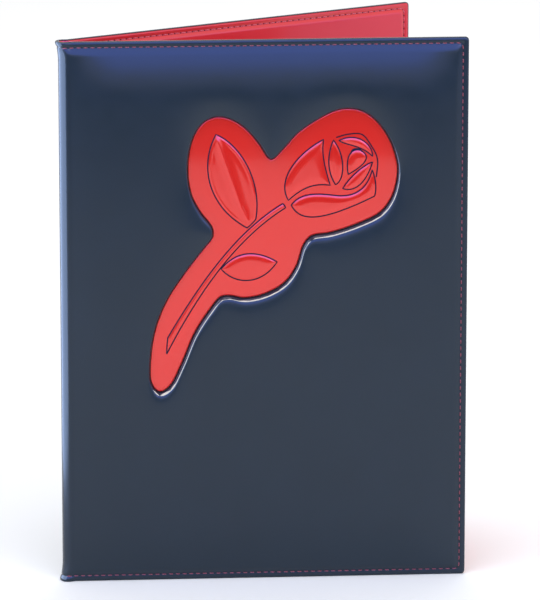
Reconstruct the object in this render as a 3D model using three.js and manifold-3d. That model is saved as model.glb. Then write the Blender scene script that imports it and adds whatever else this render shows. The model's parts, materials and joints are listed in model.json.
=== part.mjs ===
/*
 * Padded menu cover, standing open on its lower edges.
 *
 * Two stiff covers share one wrap of leatherette, which turns round the spine as a soft
 * fold. Each cover is a stack: leatherette, foam, board, lining. The wrap and the lining
 * meet in a thin hem that is lock-stitched along the three outer edges. The front cover
 * has a window through the wrap and the foam, and a pressed metal plate lies in it.
 *
 * Lengths are millimetres. In a cover's own frame, s runs from the spine to the free
 * edge, z runs up, and depth runs inwards from the middle of the leatherette.
 */
import * as THREE from 'three';
import { mergeVertices } from 'three/addons/utils/BufferGeometryUtils.js';
import Module from 'manifold-3d';

const wasm = await Module();
wasm.setup();

// Covers
const coverHeight = 320;
const coverWidth = 229;
const coverCornerRadius = 2.2;
const openingAngle = THREE.MathUtils.degToRad(26.2);
const closedCoverGap = 0.25;

// Layers of a cover, from the outside in
const leatherThickness = 0.9;
const foamThickness = 0.9;
const boardThickness = 1.8;
const liningThickness = 0.6;
const layerGap = 0.3;

// Foam crown: how far the middle of a cover stands above its edges
const foamCrown = 2.6;
const foamRamp = 32;
const foamRampPower = 2.3;

// Hem: the turned and stitched edge
const hemWidth = 3.4;
const hemLeatherThickness = 1.45;
const hemLiningThickness = 1.15;
const hemDepth = 2.1;
const seamGroove = 0.6;
const hemEdgeLand = 0.45;
const boardInset = 5.6;
const foamInset = 6;
const seamCornerRadius = 1.2;

// Thread
const threadThickness = 0.7;

// Spine fold
const spineGap = 0.35;
const spineSteps = 9;
const spineFlare = 1.8;
const spineFlareLength = 12;
const boardSetback = 2.8;
const liningStepStart = 0.7;
const liningStepRun = 1.2;

// Emblem plate and its window
const plateThickness = 0.6;
const reliefHeight = 0.8;
const reliefBevel = 0.6;
const tapeThickness = 0.4;
const tapeInset = 3;
const windowClearance = 0.3;
const windowCollar = 0.9;
const windowLipRadius = 1.6;

// Depths that follow from the layers
const leatherOuter = -leatherThickness / 2;
const leatherInner = leatherThickness / 2;
const foamOuter = leatherInner + layerGap;
const foamInner = foamOuter + foamThickness;
const boardOuter = foamInner + layerGap;
const boardInner = boardOuter + boardThickness;
const liningOuter = boardInner + layerGap;
const liningInner = liningOuter + liningThickness;
const spineLiningOuter = leatherInner + layerGap;

// The two fold lines lie in the leatherette. Their spacing lets the covers shut flat,
// and their setback keeps the length of the fold the same, shut or laid open.
const hingeSpacing = 2 * (liningInner - leatherOuter) - leatherThickness + closedCoverGap;
const spineBend = Math.PI - openingAngle;
const halfOpening = openingAngle / 2;
const setbackRatio = (spineBend - 2 * Math.cos(halfOpening)) / (1 - Math.sin(halfOpening));
const spineRadius = hingeSpacing / (spineBend - setbackRatio);
const spineLength = spineRadius * spineBend;

// Emblem outline, from the spine's outermost line and the lower edge, anticlockwise
const emblemOutlinePoints = [
  [91, 275.3], [83, 272.3], [77, 263.5], [73.8, 248], [75.5, 231], [80.5, 220.5],
  [87.6, 210.6], [87.9, 205], [83, 198.4], [72.1, 184.2], [61, 167], [54.5, 150],
  [51.7, 130], [52.4, 118.7], [57, 113.4], [62.5, 116.5], [69.5, 130], [77, 148],
  [85.7, 161.7], [92, 169.2], [97, 170.2], [106, 168.6], [118, 170.9], [129.2, 177.4],
  [135.8, 187], [140, 199.5], [144.5, 204.6], [156, 206.6], [172, 211.8], [184.5, 218.2],
  [191, 227.5], [194, 241.5], [192.6, 252], [187, 264.8], [178, 275], [169.5, 278.8],
  [160, 278.5], [148.5, 273.2], [136.5, 264.9], [128.5, 256], [121.3, 249.9], [114, 259.6],
  [107, 267.8], [99.5, 273.1],
];

// Raised shapes of the emblem: each is a closed run of cubic curves, given as a start
// point and then two control points and an end point for each curve
const emblemReliefCurves = {
  longLeaf: [[89.8, 265.2], [79.5, 246], [86, 222], [107.6, 210], [109.5, 211.6], [111.2, 213.2],
    [112.6, 215], [116.5, 237], [104, 259], [89.8, 265.2]],
  shortLeaf: [[92.6, 186], [100, 176.5], [116, 175.5], [124.9, 189.7], [114, 196.5], [102, 197.5],
    [92.6, 186]],
  stem: [[61, 136], [84.5, 182], [107, 207.4], [129.8, 221.6], [129.4, 222.6], [128.8, 223.4],
    [128.2, 224.1], [104, 209.4], [84, 184], [61.6, 145.6], [61.3, 142], [61, 139], [61, 136]],
  outerPetal: [[131.4, 225.9], [137, 231], [144, 236.4], [155.4, 234.4], [153, 243], [150, 252],
    [151.6, 261.4], [137, 254], [124, 238], [131.4, 225.9]],
  cupPetal: [[133, 223], [138, 213], [150, 212.6], [181, 227.6], [182.4, 232], [181.6, 238],
    [179.6, 243.2], [177, 232], [170, 227.4], [160, 228.2], [150, 229.4], [139, 231.4], [133, 223]],
  budPetal: [[158.4, 234.8], [163, 236], [165.4, 250], [157.2, 261], [153.6, 252], [153.4, 243],
    [158.4, 234.8]],
  wrapPetal: [[162.6, 232.4], [169, 230], [176, 234.6], [179.8, 247.8], [176, 246.6], [168, 241],
    [162.6, 232.4]],
  crownPetal: [[160.4, 260.6], [165, 257.4], [173, 258], [179.8, 251], [180, 258], [171, 266],
    [160.4, 260.6]],
  heart: [[165.8, 240.6], [169, 242.6], [176.6, 246.8], [176.2, 251], [174, 257.6], [162.6, 257.6],
    [165.8, 240.6]],
};
const emblemOutlineSteps = 96;
const reliefCurveSteps = 7;

/** The value at x on a run of straight lines through knots, flat past both ends. */
function alongKnots(knots, x) {
  if (x <= knots[0][0]) return knots[0][1];
  for (let i = 1; i < knots.length; i += 1) {
    const [x0, y0] = knots[i - 1];
    const [x1, y1] = knots[i];
    if (x <= x1) return y0 + ((y1 - y0) * (x - x0)) / (x1 - x0);
  }
  return knots[knots.length - 1][1];
}

// Where the hem's surfaces change, counted in hem widths from the edge
const hemStations = [0, 0.15, 0.47, 0.82, 1, 1.18, 1.53, 1.91];
const hemLines = hemStations.map((share) => share * hemWidth);
const [, hemShoulder, hemCrest, grooveStart, seamInset, grooveEnd, boardStep, panelStart] = hemLines;

const hemCrestDepth = hemDepth - layerGap / 2 - hemLeatherThickness;
const hemLeatherInner = hemDepth - layerGap / 2;
const hemLiningOuter = hemDepth + layerGap / 2;
const hemLiningCrest = hemLiningOuter + hemLiningThickness;

const leatherOuterKnots = [
  [0, hemLeatherInner - hemEdgeLand],
  [hemShoulder, hemCrestDepth + 0.2 * hemLeatherThickness],
  [hemCrest, hemCrestDepth],
  [grooveStart, hemCrestDepth + 0.3 * seamGroove],
  [seamInset, hemCrestDepth + seamGroove],
  [grooveEnd, hemCrestDepth + 0.7 * seamGroove],
  [boardStep, hemCrestDepth - 0.4 * (hemCrestDepth - leatherOuter)],
  [panelStart, leatherOuter],
];
const leatherInnerKnots = [
  [grooveEnd, hemLeatherInner],
  [boardStep, leatherInner + 0.4 * (hemLeatherInner - leatherInner)],
  [panelStart, leatherInner],
];

/** Depths of the lining's two faces at a distance from the hem's edge. */
function liningOuterDepth(inset, level) {
  const againstWrap = alongKnots(leatherInnerKnots, inset) + layerGap;
  return Math.max(againstWrap, alongKnots([[seamInset, hemLiningOuter], [boardStep, level]], inset));
}
function liningInnerDepth(inset, level) {
  return alongKnots([
    [0, hemLiningOuter + hemEdgeLand],
    [hemShoulder, hemLiningCrest - 0.2 * hemLiningThickness],
    [hemCrest, hemLiningCrest],
    [grooveStart, hemLiningCrest - 0.3 * seamGroove],
    [seamInset, hemLiningCrest - 0.75 * seamGroove],
    [grooveEnd, hemLiningCrest - 0.3 * seamGroove],
    [boardStep, level],
  ], inset);
}

/** Distance to the nearest of a cover's three hemmed edges. */
function hemInset(s, z) {
  return Math.min(coverWidth - s, z, coverHeight - z);
}

/** How far the foam lifts the wrap at a point of a cover. */
function foamLift(s, z) {
  const rise = (distance) => {
    const share = THREE.MathUtils.clamp(distance / foamRamp, 0, 1);
    return 1 - (1 - share) ** foamRampPower;
  };
  const upright = rise(Math.min(z, coverHeight - z) - grooveEnd);
  return foamCrown * upright * rise(coverWidth - s - grooveEnd) * rise(s);
}

const rampLines = [0.12, 0.3, 0.55, 0.8, 1].map((share) => share * foamRamp);
const mirrored = (lines, length) => lines.map((line) => length - line).reverse();

/** A geometry from points and triangles, turned so that its faces point out. */
function closedGeometry(positions, triangles) {
  const corner = [new THREE.Vector3(), new THREE.Vector3(), new THREE.Vector3()];
  let sixVolumes = 0;
  for (const triangle of triangles) {
    triangle.forEach((index, i) => corner[i].fromArray(positions, 3 * index));
    sixVolumes += corner[0].dot(corner[1].clone().cross(corner[2]));
  }
  const ordered = sixVolumes > 0 ? triangles : triangles.map(([a, b, c]) => [a, c, b]);
  const geometry = new THREE.BufferGeometry();
  geometry.setAttribute('position', new THREE.Float32BufferAttribute(positions, 3));
  geometry.setIndex(ordered.flat());
  return geometry;
}

/** A sheet between two depths on a grid of columns and rows, closed at its four sides. */
function sheetGeometry(columns, rows, nearDepth, farDepth, place) {
  const positions = [];
  for (const depth of [nearDepth, farDepth]) {
    for (const s of columns) {
      for (const z of rows) positions.push(...place(s, z, depth(s, z)).toArray());
    }
  }
  const side = columns.length * rows.length;
  const at = (i, j) => i * rows.length + j;
  const middle = [(columns.length - 1) / 2, (rows.length - 1) / 2];
  const triangles = [];
  for (let i = 0; i < columns.length - 1; i += 1) {
    for (let j = 0; j < rows.length - 1; j += 1) {
      const corners = [at(i, j), at(i + 1, j), at(i + 1, j + 1), at(i, j + 1)];
      const towardsCorner = (i + 0.5 - middle[0]) * (j + 0.5 - middle[1]) > 0;
      const [a, b, c, d] = towardsCorner ? corners : [...corners.slice(1), corners[0]];
      triangles.push([a, b, c], [a, c, d], [side + a, side + c, side + b], [side + a, side + d, side + c]);
    }
  }
  const border = [];
  for (let i = 0; i < columns.length - 1; i += 1) border.push(at(i, 0));
  for (let j = 0; j < rows.length - 1; j += 1) border.push(at(columns.length - 1, j));
  for (let i = columns.length - 1; i > 0; i -= 1) border.push(at(i, rows.length - 1));
  for (let j = rows.length - 1; j > 0; j -= 1) border.push(at(0, j));
  border.forEach((a, k) => {
    const b = border[(k + 1) % border.length];
    triangles.push([b, a, side + a], [b, side + a, side + b]);
  });
  return closedGeometry(positions, triangles);
}

/** A bar through rings of points, with flat ends. */
function barGeometry(rings) {
  const sides = rings[0].length;
  const positions = rings.flat().flatMap((point) => point.toArray());
  const triangles = [];
  for (let i = 0; i < rings.length - 1; i += 1) {
    for (let k = 0; k < sides; k += 1) {
      const a = i * sides + k;
      const b = i * sides + ((k + 1) % sides);
      triangles.push([a, b, b + sides], [a, b + sides, a + sides]);
    }
  }
  const last = (rings.length - 1) * sides;
  for (let k = 1; k < sides - 1; k += 1) {
    triangles.push([0, k + 1, k], [last, last + k, last + k + 1]);
  }
  return closedGeometry(positions, triangles);
}

/** A solid stacked from levels of one outline, each grown by an offset, at a depth. */
function outlineSolid(outline, levels) {
  const rings = levels.map(([grow, depth]) => grownOutline(outline, grow)
    .map((point) => new THREE.Vector3(point.x, depth, point.y)));
  const count = outline.length;
  const positions = rings.flat().flatMap((point) => point.toArray());
  const triangles = [];
  for (let i = 0; i < rings.length - 1; i += 1) {
    for (let k = 0; k < count; k += 1) {
      const a = i * count + k;
      const b = i * count + ((k + 1) % count);
      triangles.push([a, b, b + count], [a, b + count, a + count]);
    }
  }
  const last = (rings.length - 1) * count;
  for (const [a, b, c] of THREE.ShapeUtils.triangulateShape(outline, [])) {
    triangles.push([a, c, b], [last + a, last + b, last + c]);
  }
  return closedGeometry(positions, triangles);
}

/** An anticlockwise outline moved outwards by a distance, with its sharp tips kept short. */
function grownOutline(outline, distance) {
  const longestMitre = 2.2;
  return outline.map((point, i) => {
    const before = outline[(i + outline.length - 1) % outline.length];
    const after = outline[(i + 1) % outline.length];
    const inward = point.clone().sub(before).normalize();
    const outward = after.clone().sub(point).normalize();
    const normal = new THREE.Vector2(inward.y + outward.y, -inward.x - outward.x).normalize();
    const spread = Math.max(normal.x * inward.y - normal.y * inward.x, 1 / longestMitre);
    return point.clone().addScaledVector(normal, distance / spread);
  });
}

/** Points on a closed run of cubic curves, anticlockwise. */
function curvedOutline(curve, steps) {
  const points = [];
  for (let i = 0; i + 3 < curve.length; i += 3) {
    const [a, b, c, d] = curve.slice(i, i + 4).map(([x, y]) => new THREE.Vector2(x, y));
    points.push(...new THREE.CubicBezierCurve(a, b, c, d).getPoints(steps).slice(0, -1));
  }
  return THREE.ShapeUtils.isClockWise(points) ? points.reverse() : points;
}

/** The emblem's smooth outline in the front cover's frame. */
function emblemOutline() {
  const through = emblemOutlinePoints.map(([x, z]) => new THREE.Vector3(x, z, 0));
  const curve = new THREE.CatmullRomCurve3(through, true, 'centripetal');
  const points = curve.getSpacedPoints(emblemOutlineSteps).slice(0, -1);
  const flat = points.map((point) => new THREE.Vector2(point.x - spineReach, point.y));
  return THREE.ShapeUtils.isClockWise(flat) ? flat.reverse() : flat;
}
const spineReach = spineRadius + leatherThickness / 2;

/** Booleans on closed geometries. */
function solidOf(geometry) {
  const bare = geometry.clone();
  bare.deleteAttribute('normal');
  bare.deleteAttribute('uv');
  const merged = mergeVertices(bare, 1e-5);
  return new wasm.Manifold(new wasm.Mesh({
    numProp: 3,
    vertProperties: new Float32Array(merged.attributes.position.array),
    triVerts: new Uint32Array(merged.index.array),
  }));
}
function geometryOf(solid) {
  const mesh = solid.getMesh();
  const geometry = new THREE.BufferGeometry();
  geometry.setAttribute('position', new THREE.Float32BufferAttribute(mesh.vertProperties, 3));
  geometry.setIndex(new THREE.Uint32BufferAttribute(mesh.triVerts, 1));
  return geometry;
}

/** What rounds a cover's two free corners: a post with a quarter-round hollow at each. */
function cornerCutter(lower) {
  const overshoot = 1;
  const steps = 5;
  const depthReach = liningInner + foamCrown + 2 * overshoot;
  const leadIn = 1.2 * coverCornerRadius;
  const leadOut = 0.04 * coverCornerRadius;
  const outline = [[coverWidth - leadIn, -leadOut]];
  for (let i = 1; i < steps; i += 1) {
    const angle = (i / steps) * (Math.PI / 2);
    outline.push([
      coverWidth - coverCornerRadius * (1 - Math.sin(angle)),
      coverCornerRadius * (1 - Math.cos(angle)),
    ]);
  }
  outline.push([coverWidth + leadOut, leadIn], [coverWidth + overshoot, leadIn],
    [coverWidth + overshoot, -overshoot], [coverWidth - leadIn, -overshoot]);
  const placed = outline.map(([s, z]) => new THREE.Vector2(s, lower ? z : coverHeight - z));
  const wound = THREE.ShapeUtils.isClockWise(placed) ? placed.reverse() : placed;
  return solidOf(outlineSolid(wound, [[0, -depthReach], [0, depthReach]]));
}

function withRoundCorners(geometry) {
  const cut = solidOf(geometry).subtract(cornerCutter(true)).subtract(cornerCutter(false));
  return geometryOf(cut);
}

// Both covers are worked out in the front cover's frame: x is s, y is depth, z is up
const flatPlace = (s, z, depth) => new THREE.Vector3(s, depth, z);

/** Point of the spine fold at a distance along it from the front cover. */
function spinePlace(along, z, depth) {
  const angle = along / spineRadius;
  const radius = spineRadius - depth;
  return new THREE.Vector3(-radius * Math.sin(angle), spineRadius - radius * Math.cos(angle), z);
}

const coverRows = [
  ...hemLines,
  ...rampLines.map((line) => line + grooveEnd),
  ...mirrored(rampLines.map((line) => line + grooveEnd), coverHeight),
  ...mirrored(hemLines, coverHeight),
];

function coverLeather() {
  const columns = [
    spineGap,
    ...rampLines,
    ...mirrored(rampLines.map((line) => line + grooveEnd), coverWidth),
    ...mirrored(hemLines, coverWidth),
  ];
  const outer = (s, z) => alongKnots(leatherOuterKnots, hemInset(s, z)) - foamLift(s, z);
  const inner = (s, z) => alongKnots(leatherInnerKnots, hemInset(s, z)) - foamLift(s, z);
  return withRoundCorners(sheetGeometry(columns, coverRows, outer, inner, flatPlace));
}

function coverFoam() {
  const fromHem = [foamInset, ...rampLines.map((line) => line + grooveEnd)];
  const columns = [
    boardSetback,
    ...rampLines,
    ...mirrored(fromHem, coverWidth),
  ];
  const rows = [...fromHem, ...mirrored(fromHem, coverHeight)];
  const outer = (s, z) => alongKnots(leatherInnerKnots, hemInset(s, z)) - foamLift(s, z) + layerGap;
  return sheetGeometry(columns, rows, outer, () => foamInner, flatPlace);
}

function coverBoard() {
  const width = coverWidth - boardInset - boardSetback;
  const board = new THREE.BoxGeometry(width, boardThickness, coverHeight - 2 * boardInset);
  board.translate(boardSetback + width / 2, boardOuter + boardThickness / 2, coverHeight / 2);
  return board;
}

function coverLining() {
  const roomSideEnd = liningStepStart + liningStepRun;
  const boardSideStart = liningStepStart + liningThickness;
  const boardSideEnd = boardSideStart + liningStepRun;
  const columns = [
    spineGap,
    liningStepStart,
    boardSideStart,
    roomSideEnd,
    boardSideEnd,
    ...mirrored(hemLines, coverWidth),
  ];
  const rows = [...hemLines, ...mirrored(hemLines, coverHeight)];
  const outer = (s, z) => {
    const level = alongKnots([[boardSideStart, spineLiningOuter], [boardSideEnd, liningOuter]], s);
    return liningOuterDepth(hemInset(s, z), level);
  };
  const inner = (s, z) => {
    const spineLevel = spineLiningOuter + liningThickness;
    const level = alongKnots([[liningStepStart, spineLevel], [roomSideEnd, liningInner]], s);
    const leastThickness = 0.75 * liningThickness;
    return Math.max(liningInnerDepth(hemInset(s, z), level), outer(s, z) + leastThickness);
  };
  return withRoundCorners(sheetGeometry(columns, rows, outer, inner, flatPlace));
}

/** How much of the spine's own form, rather than the covers' hem, holds along the fold. */
function spineShare(along) {
  return Math.sin((Math.PI * along) / spineLength) ** 0.6;
}

/** Outward flare of the stiff stitched ends of the fold. */
function spineEndFlare(inset) {
  return spineFlare * (1 - THREE.MathUtils.clamp(inset / spineFlareLength, 0, 1)) ** 2;
}

function spineLeatherOuter(along, z) {
  const inset = Math.min(z, coverHeight - z);
  const hem = alongKnots(leatherOuterKnots, inset);
  return THREE.MathUtils.lerp(hem, leatherOuter - spineEndFlare(inset), spineShare(along));
}

function spineLeatherInner(along, z) {
  const inset = Math.min(z, coverHeight - z);
  const hem = alongKnots(leatherInnerKnots, inset);
  return THREE.MathUtils.lerp(hem, leatherInner - spineEndFlare(inset), spineShare(along));
}

const spineRows = [
  ...hemLines,
  spineFlareLength,
  ...mirrored([...hemLines, spineFlareLength], coverHeight),
];

const spineColumns = Array.from({ length: spineSteps + 1 }, (_, i) => (
  spineGap + (i / spineSteps) * (spineLength - 2 * spineGap)
));

function spineLeather() {
  return sheetGeometry(spineColumns, spineRows, spineLeatherOuter, spineLeatherInner, spinePlace);
}

function spineLining() {
  const outer = (along, z) => spineLeatherInner(along, z) + layerGap;
  const inner = (along, z) => outer(along, z) + liningThickness;
  return sheetGeometry(spineColumns, spineRows, outer, inner, spinePlace);
}

/** A cover's run of thread, near one face: along the top, down the free edge and back. */
function coverThread(nearDepth, farDepth) {
  const right = coverWidth - seamInset;
  const path = [[spineGap, seamInset, 0, -1]];
  const corners = [[seamInset + seamCornerRadius, -1], [coverHeight - seamInset - seamCornerRadius, 1]];
  for (const [centre, way] of corners) {
    for (let i = 0; i <= 4; i += 1) {
      const turn = (i / 4) * (Math.PI / 2);
      const angle = way < 0 ? turn - Math.PI / 2 : turn;
      const [across, up] = [Math.cos(angle), Math.sin(angle)];
      path.push([right - seamCornerRadius + seamCornerRadius * across, centre + seamCornerRadius * up, across, up]);
    }
  }
  path.push([spineGap, coverHeight - seamInset, 0, 1]);
  const half = threadThickness / 2;
  return barGeometry(path.map(([s, z, across, up]) => [
    flatPlace(s - half * across, z - half * up, nearDepth),
    flatPlace(s + half * across, z + half * up, nearDepth),
    flatPlace(s + half * across, z + half * up, farDepth),
    flatPlace(s - half * across, z - half * up, farDepth),
  ]));
}

/** The run of thread round the fold at its lower or upper end. */
function spineThread(upper, outside) {
  const z = upper ? coverHeight - seamInset : seamInset;
  const half = threadThickness / 2;
  const columns = outside ? spineColumns : spineColumns.slice(1, -1);
  return barGeometry(columns.map((along) => {
    const face = outside
      ? spineLeatherOuter(along, z) - layerGap
      : spineLeatherInner(along, z) + layerGap + liningThickness + layerGap;
    const away = outside ? face - threadThickness : face + threadThickness;
    return [
      spinePlace(along, z - half, face),
      spinePlace(along, z + half, face),
      spinePlace(along, z + half, away),
      spinePlace(along, z - half, away),
    ];
  }));
}

const outerThreadFace = hemCrestDepth + seamGroove - layerGap;
const innerThreadFace = hemLiningCrest - 0.75 * seamGroove + layerGap;

// Depths of the emblem's pieces, counted up from the board
const tapeInner = boardOuter - layerGap;
const tapeOuter = tapeInner - tapeThickness;
const plateInner = tapeOuter - layerGap;
const plateOuter = plateInner - plateThickness;
const crownOuter = leatherOuter - foamCrown;

function emblemPlate(outline) {
  let plate = solidOf(outlineSolid(outline, [[0, plateInner], [0, plateOuter]]));
  for (const curve of Object.values(emblemReliefCurves)) {
    const shifted = curve.map(([x, z]) => [x - spineReach, z]);
    const shape = curvedOutline(shifted, reliefCurveSteps);
    const raised = outlineSolid(shape, [
      [0, (plateInner + plateOuter) / 2],
      [0, plateOuter - 0.35 * reliefHeight],
      [-reliefBevel, plateOuter - reliefHeight],
    ]);
    plate = plate.add(solidOf(raised));
  }
  return geometryOf(plate);
}

function emblemTape(outline) {
  return outlineSolid(grownOutline(outline, -tapeInset), [[0, tapeInner], [0, tapeOuter]]);
}

/** The wrap of the front cover, turned down round the window to the board. */
function windowedLeather(leather, outline) {
  const lip = windowLipRadius;
  const collar = outlineSolid(outline, [
    [windowClearance + windowCollar, boardOuter - layerGap],
    [windowClearance + windowCollar, crownOuter + 0.6 * leatherThickness],
  ]);
  const opening = outlineSolid(outline, [
    [windowClearance, boardOuter + layerGap],
    [windowClearance, crownOuter + lip],
    [windowClearance + 0.3 * lip, crownOuter + 0.3 * lip],
    [windowClearance + lip, crownOuter],
    [windowClearance + 2 * lip, crownOuter - 0.3 * lip],
  ]);
  return geometryOf(solidOf(leather).add(solidOf(collar)).subtract(solidOf(opening)));
}

function windowedFoam(foam, outline) {
  const grow = windowClearance + windowCollar + layerGap;
  const opening = outlineSolid(outline, [[grow, boardOuter], [grow, crownOuter - foamCrown]]);
  return geometryOf(solidOf(foam).subtract(solidOf(opening)));
}

const finishes = {
  leather: new THREE.MeshStandardMaterial({ color: 0x1b2230, roughness: 0.38, metalness: 0 }),
  lining: new THREE.MeshStandardMaterial({ color: 0xc4202c, roughness: 0.32, metalness: 0 }),
  foam: new THREE.MeshStandardMaterial({ color: 0xd8d4c8, roughness: 0.95, metalness: 0 }),
  board: new THREE.MeshStandardMaterial({ color: 0x8f8878, roughness: 0.9, metalness: 0 }),
  plate: new THREE.MeshStandardMaterial({ color: 0xc8202a, roughness: 0.25, metalness: 0.6 }),
  tape: new THREE.MeshStandardMaterial({ color: 0xe6e4dc, roughness: 0.8, metalness: 0 }),
  outerThread: new THREE.MeshStandardMaterial({ color: 0x96464e, roughness: 0.7, metalness: 0 }),
  innerThread: new THREE.MeshStandardMaterial({ color: 0xd86a72, roughness: 0.7, metalness: 0 }),
};

function addPiece(group, name, geometry, finish) {
  const mesh = new THREE.Mesh(geometry, finish);
  mesh.name = name;
  group.add(mesh);
}

/** The layers that both covers have. */
function addCover(group, name, leather, foam) {
  addPiece(group, `${name}_leather`, leather, finishes.leather);
  addPiece(group, `${name}_foam`, foam, finishes.foam);
  addPiece(group, `${name}_board`, coverBoard(), finishes.board);
  addPiece(group, `${name}_lining`, coverLining(), finishes.lining);
  addPiece(group, `${name}_outer_thread`, coverThread(outerThreadFace, outerThreadFace - threadThickness),
    finishes.outerThread);
  addPiece(group, `${name}_inner_thread`, coverThread(innerThreadFace, innerThreadFace + threadThickness),
    finishes.innerThread);
}

/** A geometry turned upside down about the cover's long middle, so that depth reverses. */
function turnedOver(geometry) {
  return geometry.rotateX(Math.PI).translate(0, 0, coverHeight);
}

const outline = emblemOutline();
const menuCover = new THREE.Group();
const assembly = new THREE.Group();
menuCover.add(assembly);

const frontCover = new THREE.Group();
addCover(frontCover, 'front_cover', windowedLeather(coverLeather(), outline), windowedFoam(coverFoam(), outline));
addPiece(frontCover, 'emblem_plate', emblemPlate(outline), finishes.plate);
addPiece(frontCover, 'emblem_tape', emblemTape(outline), finishes.tape);
assembly.add(frontCover);

const spine = new THREE.Group();
addPiece(spine, 'spine_leather', spineLeather(), finishes.leather);
addPiece(spine, 'spine_lining', spineLining(), finishes.lining);
for (const [end, upper] of [['top', true], ['bottom', false]]) {
  addPiece(spine, `spine_${end}_outer_thread`, spineThread(upper, true), finishes.outerThread);
  addPiece(spine, `spine_${end}_inner_thread`, spineThread(upper, false), finishes.innerThread);
}
assembly.add(spine);

const backCover = new THREE.Group();
addCover(backCover, 'back_cover', coverLeather(), coverFoam());
backCover.children.forEach((piece) => turnedOver(piece.geometry));
const backStart = spinePlace(spineLength, 0, 0);
backCover.position.copy(backStart);
backCover.rotation.z = openingAngle;
assembly.add(backCover);

// The part stands on its lower edges, centred over the origin
menuCover.updateMatrixWorld(true);
const bounds = new THREE.Box3().setFromObject(menuCover, true);
const centre = bounds.getCenter(new THREE.Vector3());
assembly.position.set(-centre.x, -centre.y, -bounds.min.z);
menuCover.updateMatrixWorld(true);

export default menuCover;
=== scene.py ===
"""Looks of a padded leatherette menu cover with a pressed metal emblem in its front."""

import json
import logging
from dataclasses import dataclass
from enum import Enum
from math import cos, pi, radians, sin
from typing import Callable

import bpy
import numpy as np
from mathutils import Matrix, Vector
from mathutils.geometry import delaunay_2d_cdt

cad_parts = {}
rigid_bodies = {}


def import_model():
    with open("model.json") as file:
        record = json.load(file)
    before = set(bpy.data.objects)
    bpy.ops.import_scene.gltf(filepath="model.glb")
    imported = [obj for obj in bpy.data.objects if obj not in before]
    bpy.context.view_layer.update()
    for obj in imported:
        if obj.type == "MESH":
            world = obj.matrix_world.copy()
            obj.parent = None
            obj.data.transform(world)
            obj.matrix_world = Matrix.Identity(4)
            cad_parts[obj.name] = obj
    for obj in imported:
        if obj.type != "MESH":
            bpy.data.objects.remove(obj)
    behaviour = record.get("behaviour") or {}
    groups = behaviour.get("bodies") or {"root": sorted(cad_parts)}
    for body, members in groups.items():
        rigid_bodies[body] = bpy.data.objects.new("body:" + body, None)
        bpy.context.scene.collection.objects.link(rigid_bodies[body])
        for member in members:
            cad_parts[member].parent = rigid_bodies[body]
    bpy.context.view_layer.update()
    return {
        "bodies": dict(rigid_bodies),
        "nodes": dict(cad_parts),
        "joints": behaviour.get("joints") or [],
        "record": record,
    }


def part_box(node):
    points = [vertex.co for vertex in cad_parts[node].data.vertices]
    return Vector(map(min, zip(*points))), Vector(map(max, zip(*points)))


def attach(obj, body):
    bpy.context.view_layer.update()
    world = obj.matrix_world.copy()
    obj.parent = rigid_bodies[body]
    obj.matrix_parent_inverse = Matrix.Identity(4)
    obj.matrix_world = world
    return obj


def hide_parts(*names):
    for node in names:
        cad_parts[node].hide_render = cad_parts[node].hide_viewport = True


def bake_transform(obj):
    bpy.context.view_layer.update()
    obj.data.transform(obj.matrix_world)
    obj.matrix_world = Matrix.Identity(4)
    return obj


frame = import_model()

LOG = logging.getLogger("menu_cover")
MM = 0.001
CHUNK = 3000
Array = np.ndarray
Pairs = list[tuple[float, float]]
Spot = tuple[float, float, float]
DepthAt = Callable[[Array, Array], Array]
Tree = bpy.types.NodeTree
Socket = bpy.types.NodeSocket
Object = bpy.types.Object


# Colour and material helpers


def linear(hex_colour: str) -> tuple[float, float, float, float]:
    """Turn an sRGB hex colour into linear RGBA.

    Args:
        hex_colour: Six hex digits, with or without a leading hash.

    Returns:
        Linear red, green and blue, with an alpha of 1.
    """
    digits = hex_colour.lstrip("#")
    channels = [int(digits[i : i + 2], 16) / 255 for i in (0, 2, 4)]
    straight = [c / 12.92 if c <= 0.04045 else ((c + 0.055) / 1.055) ** 2.4 for c in channels]
    return (straight[0], straight[1], straight[2], 1.0)


def add_node(tree: Tree, kind: str, inputs: dict | None = None, **settings: object) -> bpy.types.Node:
    """Add one node, set its properties, and set or link its inputs.

    Args:
        tree: The node tree that gets the node.
        kind: Blender's identifier of the node type.
        inputs: Socket name or index to a constant, or to an output socket that is linked.
        settings: Properties of the node itself.

    Returns:
        The new node.
    """
    node = tree.nodes.new(kind)
    for name, value in settings.items():
        setattr(node, name, value)
    for key, value in (inputs or {}).items():
        if isinstance(value, Socket):
            tree.links.new(value, node.inputs[key])
        else:
            node.inputs[key].default_value = value
    return node


def object_mm(tree: Tree) -> Socket:
    """Object coordinates in millimetres, so that pattern scales are real sizes."""
    scaled = {0: add_node(tree, "ShaderNodeTexCoord").outputs["Object"], 1: (1 / MM,) * 3}
    return add_node(tree, "ShaderNodeVectorMath", scaled, operation="MULTIPLY").outputs[0]


def noise(tree: Tree, place: Socket, patch_mm: float, detail: float = 2.0) -> Socket:
    """Noise whose patches are about this size."""
    cloud = {"Vector": place, "Scale": 1 / patch_mm, "Detail": detail}
    return add_node(tree, "ShaderNodeTexNoise", cloud).outputs[0]


def varied(tree: Tree, factor: Socket, middle: float, swing: float) -> Socket:
    """A value that wanders by swing to each side of its middle."""
    span = {"Value": factor, "To Min": middle - swing, "To Max": middle + swing}
    return add_node(tree, "ShaderNodeMapRange", span).outputs[0]


def two_tone(tree: Tree, factor: Socket, first: str, second: str) -> Socket:
    """A mix of two sRGB hex colours."""
    tones = {"Factor": factor, 6: linear(first), 7: linear(second)}
    return add_node(tree, "ShaderNodeMix", tones, data_type="RGBA").outputs[2]


def bumped(tree: Tree, height: Socket, strength: float, depth_mm: float) -> Socket:
    """The normal of a relief of this depth."""
    relief = {"Height": height, "Strength": strength, "Distance": depth_mm * MM}
    return add_node(tree, "ShaderNodeBump", relief).outputs[0]


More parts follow.
